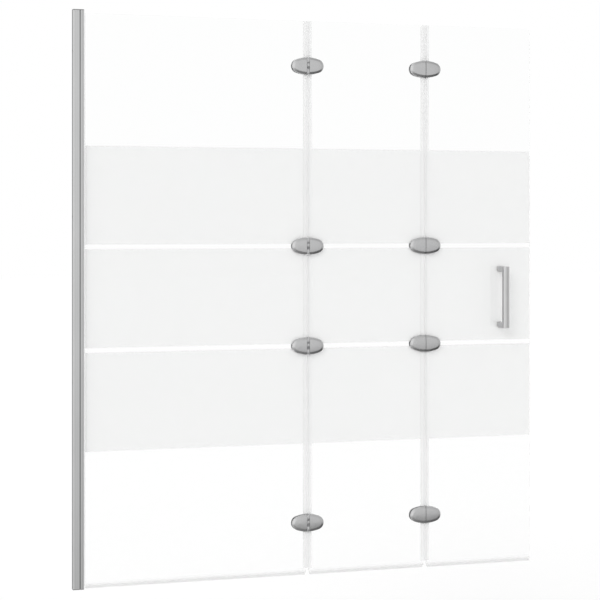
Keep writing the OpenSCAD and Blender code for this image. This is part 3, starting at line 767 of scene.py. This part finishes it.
@dataclass
class FrostedBands:
    """The white skins of the etched bands in the +Y face of each glass."""

    screen: Screen
    count: int = 3
    low: float = 330.0 * MM
    height: float = 240.0 * MM
    stripe: float = 11.0 * MM
    depth: float = 0.1 * MM
    inset: float = 0.02 * MM

    def skins(self, glass: str, body: Body) -> None:
        """Flat closed skins that fill a glass's etched recesses.

        Each skin is a box: the points (x, y, z) over the pane's width outside the wall profile's gaskets, the
        recess's depth and the band's height.

        Args:
            glass: The glass node.
            body: The body that the glass belongs to.
        """
        lo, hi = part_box(glass)
        near = max(lo.x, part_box("channel_gaskets")[1].x)
        back = hi.y - self.inset
        front = hi.y - self.depth + self.inset
        levels = (0.0, self.height)
        corners = np.array([(x, y, z) for z in levels for y in (front, back) for x in (near, hi.x)])
        sides = ((0, 2, 3, 1), (4, 5, 7, 6), (0, 1, 5, 4), (2, 6, 7, 3), (0, 4, 6, 2), (1, 3, 7, 5))
        starts = [self.low + i * (self.height + self.stripe) for i in range(self.count)]
        verts = np.concatenate([corners + (0.0, 0.0, z) for z in starts])
        faces = [[i + len(corners) * k for i in side] for k in range(self.count) for side in sides]
        name = glass.replace("glass", "frost")
        add_piece(name, verts, faces, self.screen.material(Finish.FROST), body)
        LOG.info("%s", name)

    def build(self) -> None:
        """The bands of the three glasses."""
        self.skins("fixed_glass", Body.WALL)
        self.skins("middle_glass", Body.MIDDLE)
        self.skins("end_glass", Body.END)


def grid_faces(rows: int, columns: int, start: int) -> np.ndarray:
    """Quads of a grid whose points are numbered row by row.

    Args:
        rows: Number of rows.
        columns: Number of columns.
        start: Number of the first point.

    Returns:
        Four point numbers for each quad.
    """
    first = start + (np.arange(rows - 1)[:, None] * columns + np.arange(columns - 1)).ravel()
    return np.stack([first, first + 1, first + columns + 1, first + columns], axis=1)


@dataclass
class Shell:
    """Gathers surfaces, each a grid of points, into one closed mesh that keeps its sharp edges."""

    points: list[np.ndarray] = field(default_factory=list)
    faces: list[np.ndarray] = field(default_factory=list)
    sharp_deg: float = 30.0

    def sheet(self, grid: np.ndarray) -> None:
        """Adds a surface.

        Args:
            grid: Its points, as rows, columns and (x, y, z).
        """
        start = sum(len(p) for p in self.points)
        self.faces.append(grid_faces(grid.shape[0], grid.shape[1], start))
        self.points.append(grid.reshape(-1, 3))

    def build(self, name: str, material: bpy.types.Material, body: Body, slot: Slot) -> bpy.types.Object:
        """Merges the surfaces' common points, turns the faces outwards and makes the piece.

        Args:
            name: The piece's name.
            material: Its material.
            body: The body it rides on.
            slot: The record's slot; not used.

        Returns:
            The new object.
        """
        piece = add_piece(name, np.concatenate(self.points), np.concatenate(self.faces), material, body)
        work = bmesh.new()
        work.from_mesh(piece.data)
        bmesh.ops.remove_doubles(work, verts=work.verts, dist=MERGE)
        bmesh.ops.dissolve_degenerate(work, edges=work.edges, dist=MERGE)
        bmesh.ops.recalc_face_normals(work, faces=work.faces)
        work.to_mesh(piece.data)
        work.free()
        piece.data.shade_smooth()
        piece.data.set_sharp_from_angle(angle=math.radians(self.sharp_deg))
        return piece


@dataclass(frozen=True)
class OvalHinge:
    """Cast half ovals of the hinges on the handle's side, with a low dome, a bevelled rim and their knuckles.

    Attributes:
        end_centre: Distance of the round ends' centres from the seam.
        end_radius: Radius of the round ends.
        back: Distance of the leaf's back from the glass's middle.
        face: Height of the flat face over the back.
        bevel: Distance inside the outline at which the face starts.
        split: Distance of the inner edge from the seam's middle.
        scoop_radius: Radius of the hollow round the barrel in the inner edge.
        axis: Distance of the pin from the glass's middle.
        dish: Depth of the pin's recess at the barrel's ends.
        outer_knuckles: Lower and upper end of the two knuckles on the wall side, over the hinge's middle.
        middle_knuckle: The same of the knuckle on the folding side.
        web_slope: How far the top of a web slopes down beyond the flat face.
        web_lap: How far a web reaches into the plate behind the scoop.
        bore_clearance: Distance between a bore and the web beside it.
        spine_lap: How far the spine between the glasses reaches into the plate.
        rim: Section of the rim, as distance inside the outline and height over the back.
        face_insets: Distances inside the outline of the dome's rings.
    """

    end_centre: float = 23.5 * MM
    end_radius: float = 17.5 * MM
    half_height: float = 21.5 * MM
    back: float = 3.5 * MM
    face: float = 6.5 * MM
    bevel: float = 5.5 * MM
    dome: float = 0.65 * MM
    split: float = 0.35 * MM
    scoop_radius: float = 3.7 * MM
    axis: float = 10.3 * MM
    pin_radius: float = 1.9 * MM
    bore: float = 1.8 * MM
    knuckle_radius: float = 3.4 * MM
    knuckle_edge: float = 0.3 * MM
    dish: float = 0.5 * MM
    barrel_half: float = 20.0 * MM
    outer_knuckles: tuple[Range, ...] = ((-20.0 * MM, -8.0 * MM), (8.5 * MM, 20.0 * MM))
    middle_knuckle: tuple[Range, ...] = ((-1.9 * MM, 6.4 * MM),)
    web_slope: float = 1.7 * MM
    web_lap: float = 0.3 * MM
    bore_clearance: float = 0.1 * MM
    spine_width: float = 3.6 * MM
    spine_half: float = 16.5 * MM
    spine_lap: float = 0.5 * MM
    rim: tuple[Range, ...] = (
        (0.4 * MM, 0.0), (0.12 * MM, 0.1 * MM), (0.0, 0.4 * MM), (0.0, 2.0 * MM), (0.0, 3.1 * MM),
        (0.0, 3.7 * MM), (0.08 * MM, 4.1 * MM), (0.35 * MM, 4.42 * MM), (0.9 * MM, 4.68 * MM),
        (2.6 * MM, 5.35 * MM), (4.3 * MM, 6.02 * MM), (5.0 * MM, 6.28 * MM), (5.6 * MM, 6.44 * MM))
    face_insets: tuple[float, ...] = (
        6.2 * MM, 7.2 * MM, 8.6 * MM, 10.2 * MM, 12.0 * MM, 14.0 * MM, 16.0 * MM, 17.5 * MM)
    flank_steps: int = 14
    end_steps: int = 16
    knuckle_steps: int = 40

    def flank_radius(self) -> float:
        """Radius of the wide flanks, which run into the round ends without a kink."""
        return (self.end_centre ** 2 + self.half_height ** 2 - self.end_radius ** 2) / (
            2 * (self.half_height - self.end_radius))

    def rise(self, inset: np.ndarray) -> np.ndarray:
        """Height of the dome over the face: a parabola that starts at the bevel and levels out inside."""
        share = np.clip((inset - self.bevel) / (self.half_height - self.bevel), 0.0, 1.0)
        return self.dome * (1.0 - (1.0 - share) ** 2)

    def start(self, height: float, scooped: bool) -> float:
        """Distance of a leaf's inner edge from the seam's middle.

        Args:
            height: Height over the leaf's back.
            scooped: True if the edge is hollowed round the barrel, as a circle about the pin.

        Returns:
            The distance.
        """
        away = self.axis - self.back - height
        if not scooped or away >= self.scoop_radius:
            return self.split
        return max(self.split, math.sqrt(self.scoop_radius ** 2 - away ** 2))

    def ring(self, inset: float, first: float) -> np.ndarray:
        """Upper half of the oval's outline, drawn inset inside it, from the inner edge to the tip.

        It is an arc about the flank's centre from x = first to the join, and then one about the end's centre.

        Args:
            inset: Distance inside the outline.
            first: Distance of the inner edge from the seam's middle.

        Returns:
            Points as x and z.
        """
        wide = self.flank_radius() - inset
        below = self.flank_radius() - self.half_height
        join = math.atan2(self.end_centre, below)
        flank = np.linspace(math.asin(first / wide), join, self.flank_steps)
        end = np.linspace(join, math.pi / 2, self.end_steps)[1:]
        small = self.end_radius - inset
        return np.concatenate([
            np.stack([wide * np.sin(flank), wide * np.cos(flank) - below], axis=1),
            np.stack([self.end_centre + small * np.sin(end), small * np.cos(end)], axis=1)])

    def upper_half(self, scooped: bool) -> np.ndarray:
        """Upper half of a plate's outside: the rim's section carried round the outline, and then the dome.

        The last row is the dome's ridge on the plate's middle line, as high as the dome is at that distance
        inside the outline.

        Args:
            scooped: True if the inner edge is hollowed for the barrel.

        Returns:
            A grid of points: a row for each step of the section, from the back inwards over the face.
        """
        rings = []
        for inset, height in (*self.rim, *((i, self.face) for i in self.face_insets)):
            flat = self.ring(inset, self.start(height, scooped))
            deep = self.back + height + (self.rise(np.full(len(flat), inset)) if height == self.face else 0.0)
            rings.append(np.stack([flat[:, 0], np.broadcast_to(-deep, len(flat)), flat[:, 1]], axis=1))
        ridge = rings[-1].copy()
        wide = self.flank_radius()
        within = wide - np.hypot(np.minimum(ridge[:, 0], self.end_centre), wide - self.half_height)
        ridge[:, 1] = -(self.back + self.face + self.rise(within))
        ridge[:, 2] = 0.0
        return np.array(rings + [ridge])

    def plate(self, shell: Shell, side: int, z: float, scooped: bool) -> None:
        """Adds a half oval: the upper half and its mirror image, the inner wall and the back.

        The inner wall and the back run from the upper half to the lower one in steps of height, which are the
        same shares of the half height as the dome's points at the inner edge. So all four sheets meet.

        Args:
            shell: The shell to add to.
            side: -1 for the wall side of the seam, 1 for the folding side.
            z: Height of the hinge's middle.
            scooped: True if the inner edge is hollowed for the barrel.
        """
        upper = self.upper_half(scooped)
        lower = upper * (1.0, 1.0, -1.0)
        last = len(self.rim) - 1
        share = upper[last:, 0, 2] / upper[last, 0, 2]
        share = np.concatenate([share, -share[-2::-1]])[:, None]
        inner = upper[:last + 1, 0][:, None] * np.ones((1, len(share), 1))
        inner[:, :, 2] *= share[:, 0]
        inner[last] = np.concatenate([upper[last:, 0], lower[last:-1, 0][::-1]])
        base = upper[0][None] * np.ones((len(share), 1, 1))
        base[:, :, 2] *= share
        for grid in (upper, lower, inner, base):
            shell.sheet(grid * (side, 1.0, 1.0) + (0.0, 0.0, z))

    def knuckle(self, shell: Shell, low: float, high: float, z: float) -> None:
        """Adds a knuckle: a section with softened edges turned about the axis, dished where the barrel ends.

        A knuckle inside the barrel is bored for the pin.

        Args:
            shell: The shell to add to.
            low: Height of its lower end over the hinge's middle.
            high: Height of its upper end.
            z: Height of the hinge's middle.
        """
        radius, soft = self.knuckle_radius, self.knuckle_edge
        bulge = 0.3 * soft  # How far a quarter circle's middle lies from the two sides of its corner.

        def end(at: float, way: int) -> list[Range]:
            """Section from the axis to the side at one end."""
            dish = self.dish if abs(at) >= self.barrel_half else 0.0
            return [(0.0, at - way * dish), (self.pin_radius, at - way * dish), (self.pin_radius, at),
                    (radius - soft, at), (radius - bulge, at - way * bulge), (radius, at - way * soft)]

        section = np.array(end(low, -1) + end(high, 1)[::-1])
        if max(abs(low), abs(high)) < self.barrel_half:
            section = section[1:-1]
            section[[0, -1], 0] = self.bore
            section = np.concatenate([section, section[:1]])
        angle = np.linspace(0.0, 2 * math.pi, self.knuckle_steps + 1)
        shell.sheet(np.stack([section[:, :1] * np.sin(angle), section[:, :1] * np.cos(angle) - self.axis,
                              section[:, 1:] + z + 0.0 * angle], axis=2))

    def block(self, shell: Shell, side: int, outline: Sequence[Range], near: float, far: float) -> None:
        """Adds a prism: an outline in Y and Z carried along X, and closed by fans from the corners' mean.

        Args:
            shell: The shell to add to.
            side: -1 for the wall side of the seam, 1 for the folding side.
            outline: Its corners as y and z, in order round it.
            near: Its nearest distance from the seam's middle.
            far: Its farthest distance.
        """
        ring = np.array([*outline, outline[0]])
        middle = ring[:-1].mean(axis=0)
        stages = ((near, 0.0), (near, 1.0), (far, 1.0), (far, 0.0))
        grid = [[(side * x, *(middle + share * (corner - middle))) for corner in ring] for x, share in stages]
        shell.sheet(np.array(grid))

    def leaf(self, shell: Shell, side: int, z: float, knuckles: Sequence[Range]) -> None:
        """Adds a knuckled leaf: plate, knuckles with their webs, and the spine between the glasses.

        A web joins a knuckle to the plate. It ends at the face, and slopes down beyond the face's flat part.

        Args:
            shell: The shell to add to.
            side: -1 for the wall side of the seam, 1 for the folding side.
            z: Height of the hinge's middle.
            knuckles: Lower and upper end of each knuckle.
        """
        self.plate(shell, side, z, scooped=True)
        top = self.back + self.face
        root = top / 2
        drop = top - self.web_slope
        crest = self.half_height - self.bevel
        for low, high in knuckles:
            self.knuckle(shell, low, high, z)
            lowest, highest = max(low, -crest), min(high, crest)
            web = [(-root, z + low), (-root, z + high), (-drop, z + high), (-top, z + highest),
                   (-top, z + lowest), (-drop, z + low)]
            if abs(low) < crest:
                web.pop(5)
            if abs(high) < crest:
                web.pop(2)
            near = self.split if max(-low, high) >= self.barrel_half else self.bore + self.bore_clearance
            self.block(shell, side, web, near, self.scoop_radius + self.web_lap)
        low, high = z - self.spine_half, z + self.spine_half
        rear = self.back + self.spine_lap
        spine = [(-rear, low), (-rear, high), (self.back, high), (self.back, low)]
        self.block(shell, side, spine, self.split, self.split + self.spine_width)


@dataclass
class FrontHinges:
    """The cast pieces of all eight hinges on the handle's side."""

    screen: Screen
    form: OvalHinge = OvalHinge()
    plain_form: OvalHinge = OvalHinge(split=0.6 * MM)
    inner_seam: float = 592.0 * MM
    outer_seam: float = 907.0 * MM

    def middle(self, node: str) -> float:
        """Height of the middle of a hinge leaf."""
        lo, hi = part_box(node)
        return (lo.z + hi.z) / 2

    def cast(self, node: str, body: Body, shell: Shell, seam: float) -> None:
        """Replaces a node by a shell.

        Args:
            node: The node.
            body: The body it belongs to.
            shell: The shell, with X measured from the seam's middle.
            seam: X of the seam's middle.
        """
        shell.points = [p + (seam, 0.0, 0.0) for p in shell.points]
        piece = shell.build(node + "_cast", self.screen.material(Finish.HINGE), body, Slot.HINGE)
        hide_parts(node)
        LOG.info("%s as a casting", node)

    def leaf(self, node: str, body: Body, side: int, knuckles: Sequence[Range]) -> None:
        """Replaces one knuckled leaf of an inner hinge.

        Args:
            node: The leaf's node.
            body: The body it belongs to.
            side: -1 for the wall side of the seam, 1 for the folding side.
            knuckles: Its knuckles.
        """
        shell = Shell()
        self.form.leaf(shell, side, self.middle(node), knuckles)
        self.cast(node, body, shell, self.inner_seam)

    def plates(self, node: str, body: Body, side: int) -> None:
        """Replaces the plain front plates on one side of the outer seam.

        Args:
            node: The plates' node.
            body: The body they belong to.
            side: -1 for the wall side of the seam, 1 for the folding side.
        """
        shell = Shell()
        for row in HINGE_ROWS:
            self.plain_form.plate(shell, side, self.middle(f"outer_{row}_wall_leaf"), scooped=False)
        self.cast(node, body, shell, self.outer_seam)

    def build(self) -> None:
        """Builds the eight inner leaves and the outer seam's front plates."""
        for row in HINGE_ROWS:
            self.leaf(f"inner_{row}_wall_leaf", Body.WALL, -1, self.form.outer_knuckles)
            self.leaf(f"inner_{row}_fold_leaf", Body.MIDDLE, 1, self.form.middle_knuckle)
        self.plates("outer_wall_front_plates", Body.MIDDLE, -1)
        self.plates("outer_fold_front_plates", Body.END, 1)


@dataclass
class SoftEdges:
    """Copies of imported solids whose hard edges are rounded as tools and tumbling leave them."""

    screen: Screen
    bar_width: float = 0.6 * MM
    post_width: float = 0.4 * MM
    cap_width: float = 0.25 * MM
    hinge_width: float = 0.4 * MM
    flat_deg: float = 0.1
    edge_deg: float = 15.0
    steps: int = 3

    def copy(self, node: str, finish: Finish, body: Body, slot: Slot, width: float) -> None:
        """Replaces a node by its merged copy with rounded edges.

        Args:
            node: The node to copy.
            finish: Its finish.
            body: The body it belongs to.
            slot: The record's slot; not used.
            width: How far the rounding reaches from each edge.
        """
        work = bmesh.new()
        work.from_mesh(self.screen.nodes[node].data)
        bmesh.ops.remove_doubles(work, verts=work.verts, dist=MERGE)
        flat = math.radians(self.flat_deg)
        bmesh.ops.dissolve_limit(work, angle_limit=flat, verts=work.verts, edges=work.edges)
        mesh = bpy.data.meshes.new(node + "_rounded")
        work.to_mesh(mesh)
        work.free()
        mesh.materials.append(self.screen.material(finish))
        mesh.shade_smooth()
        mesh.set_sharp_from_angle(angle=math.radians(self.edge_deg))
        piece = bpy.data.objects.new(node + "_rounded", mesh)
        bpy.context.scene.collection.objects.link(piece)
        rounding = piece.modifiers.new("rounding", "BEVEL")
        rounding.width = width
        rounding.segments = self.steps
        rounding.limit_method = "ANGLE"
        rounding.angle_limit = math.radians(self.edge_deg)
        rounding.harden_normals = True
        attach(piece, body.value)
        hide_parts(node)
        LOG.info("%s with rounded edges", node)

    def build(self) -> None:
        """Rounds the handle, the inner hinges' back plates and the outer hinges' leaves."""
        for node, finish, width in (("handle_bar", Finish.HANDLE, self.bar_width),
                                    ("handle_posts", Finish.POST, self.post_width),
                                    ("handle_caps", Finish.POST, self.cap_width)):
            self.copy(node, finish, Body.END, Slot.HANDLE, width)
        pieces = [("inner_wall_back_plates", Body.WALL), ("inner_fold_back_plates", Body.MIDDLE)]
        for row in HINGE_ROWS:
            pieces += [(f"outer_{row}_wall_leaf", Body.MIDDLE), (f"outer_{row}_fold_leaf", Body.END)]
        for node, body in pieces:
            self.copy(node, Finish.HINGE, body, Slot.HINGE, self.hinge_width)


# ------------------------------------------------------------------ studio


@dataclass
class Studio:
    """White studio: an even sky, two soft suns, and a floor well below the screen.

    The ramps say how much light is missing in the sky that metal mirrors. Before the screen it is the sum of
    low, high and right. Behind the screen it is the sum of behind_left and a share of low.
    """

    floor_drop: float = 0.55
    floor_half: float = 40.0
    floor_shade: Colour = (0.85, 0.85, 0.85)
    floor_colour: Colour = (0.87, 0.87, 0.87)
    floor_roughness: float = 0.9
    floor_glow: float = 0.15
    floor_grain: Grain = Grain(Axis.EVEN, 30.0, 2.0)
    ambient: float = 0.8
    low: Ramp = Ramp(-0.1, -0.42, 0.0, 0.62)
    high: Ramp = Ramp(0.15, 0.8, 0.0, 0.3)
    right: Ramp = Ramp(-0.2, 0.8, 0.0, 0.38, smooth=False)
    is_before: Ramp = Ramp(0.3, -0.5)
    behind_left: Ramp = Ramp(0.35, -0.1, 0.05, 0.46)
    behind_low: float = 0.4
    is_behind: Ramp = Ramp(-0.1, 0.5)
    key_power: float = 0.9
    key_from: tuple[float, float, float] = (-0.75, -1.0, 0.75)
    fill_power: float = 0.4
    fill_from: tuple[float, float, float] = (0.8, 1.0, 0.6)
    softness_deg: float = 30.0

    def mirrored_sky(self, pad: NodePad) -> bpy.types.NodeSocket:
        """Adds the light that metal mirrors from each direction.

        Args:
            pad: The pad on the world's tree.

        Returns:
            The light's level, from 0 to 1.
        """
        x, y, z = pad.parts(pad.add("ShaderNodeTexCoord").outputs["Generated"])
        low = self.low.of(pad, z)
        before = pad.maths("ADD", pad.maths("ADD", low, self.high.of(pad, z)), self.right.of(pad, x))
        left = pad.maths("MULTIPLY_ADD", low, self.behind_low, self.behind_left.of(pad, x))
        behind = pad.maths("MULTIPLY", left, self.is_behind.of(pad, y))
        missing = pad.maths("MULTIPLY_ADD", before, self.is_before.of(pad, y), behind)
        return pad.maths("SUBTRACT", 1.0, missing)

    def sky(self) -> None:
        """White where it is looked at, and softly shaded where metal mirrors it."""
        world = bpy.data.worlds.new("studio_sky")
        bpy.context.scene.world = world
        world.use_nodes = True
        world.node_tree.nodes.clear()
        pad = NodePad(world.node_tree)
        ray = pad.add("ShaderNodeLightPath").outputs
        seen = pad.maths("SUBTRACT", pad.maths("MAXIMUM", ray["Is Camera Ray"], ray["Is Transmission Ray"]),
                         ray["Diffuse Depth"], clamp=True)
        level = pad.add("ShaderNodeMix", data_type="FLOAT")
        pad.link(ray["Is Glossy Ray"], level.inputs[0])
        level.inputs[2].default_value = self.ambient
        pad.link(self.mirrored_sky(pad), level.inputs[3])
        shown = pad.add("ShaderNodeMix", data_type="FLOAT")
        pad.link(seen, shown.inputs[0])
        pad.link(level.outputs[0], shown.inputs[2])
        shown.inputs[3].default_value = 1.0
        back = pad.add("ShaderNodeBackground")
        pad.link(shown.outputs[0], back.inputs["Color"])
        pad.link(back.outputs[0], pad.add("ShaderNodeOutputWorld").inputs["Surface"])

    def floor(self) -> None:
        """A pale matt floor that looks white and keeps the screen's shadow."""
        size = self.floor_half
        corners = ((-size, -size), (size, -size), (size, size), (-size, size))
        mesh = bpy.data.meshes.new("floor")
        mesh.from_pydata([(x, y, -self.floor_drop) for x, y in corners], [], [(0, 1, 2, 3)])
        material, pad, shader, _ = new_material("pale_floor")
        grain = self.floor_grain.place(pad)
        pad.link(pad.blend(grain["Grain"], self.floor_shade, self.floor_colour), shader.inputs["Base Color"])
        set_plain(shader, Roughness=self.floor_roughness, Specular_IOR_Level=0.0)
        ray = pad.add("ShaderNodeLightPath").outputs
        seen = pad.maths("MAXIMUM", ray["Is Camera Ray"], ray["Is Transmission Ray"])
        shader.inputs["Emission Color"].default_value = (1.0, 1.0, 1.0, 1.0)
        pad.link(pad.maths("MULTIPLY", seen, self.floor_glow), shader.inputs["Emission Strength"])
        mesh.materials.append(material)
        floor = bpy.data.objects.new("floor", mesh)
        bpy.context.scene.collection.objects.link(floor)
        floor.visible_glossy = False

    def lamps(self) -> None:
        """A soft sun from the upper left of the handle's side, and a weaker one from behind."""
        for name, power, source in (("key_sun", self.key_power, self.key_from),
                                    ("fill_sun", self.fill_power, self.fill_from)):
            lamp = bpy.data.lights.new(name, "SUN")
            lamp.energy = power
            lamp.angle = math.radians(self.softness_deg)
            sun = bpy.data.objects.new(name, lamp)
            sun.rotation_euler = Vector(source).to_track_quat("Z", "Y").to_euler()
            sun.visible_glossy = False
            bpy.context.scene.collection.objects.link(sun)

    def build(self) -> None:
        """Sets sky, floor and lamps, and plain colour handling."""
        bpy.context.scene.view_settings.view_transform = "Standard"
        self.sky()
        self.floor()
        self.lamps()
        LOG.info("studio")


@dataclass(frozen=True)
class PhotoCamera:
    """The photograph's camera: level, left of the middle, with the picture shifted to take in the foot.

    The image is taken to be 600 by 600 pixels.
    """

    place: tuple[float, float, float] = (-0.6093, -3.9825, 0.8833)
    turn_deg: float = 16.535
    focal_px: float = 1653.7
    image_px: float = 600.0
    horizon_px: float = 223.46
    sensor_mm: float = 36.0
    reach: float = 200.0

    def build(self) -> None:
        """Makes the camera and sets it as the scene's."""
        data = bpy.data.cameras.new("photo_camera")
        data.sensor_width = self.sensor_mm
        data.lens = self.focal_px / self.image_px * self.sensor_mm
        data.shift_y = -(self.image_px / 2 - self.horizon_px) / self.image_px
        data.clip_end = self.reach
        camera = bpy.data.objects.new("photo_camera", data)
        camera.location = self.place
        camera.rotation_euler = Euler((math.pi / 2, 0.0, -math.radians(self.turn_deg)))
        bpy.context.scene.collection.objects.link(camera)
        bpy.context.scene.camera = camera


# ------------------------------------------------------------------ main


def main() -> None:
    """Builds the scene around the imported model."""
    logging.basicConfig(level=logging.INFO, format="%(name)s: %(message)s")
    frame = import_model()
    PhotoCamera().build()
    Studio().build()
    screen = Screen(frame["nodes"])
    screen.build()
    FrostedBands(screen).build()
    FrontHinges(screen).build()
    SoftEdges(screen).build()


if __name__ == "__main__":
    main()
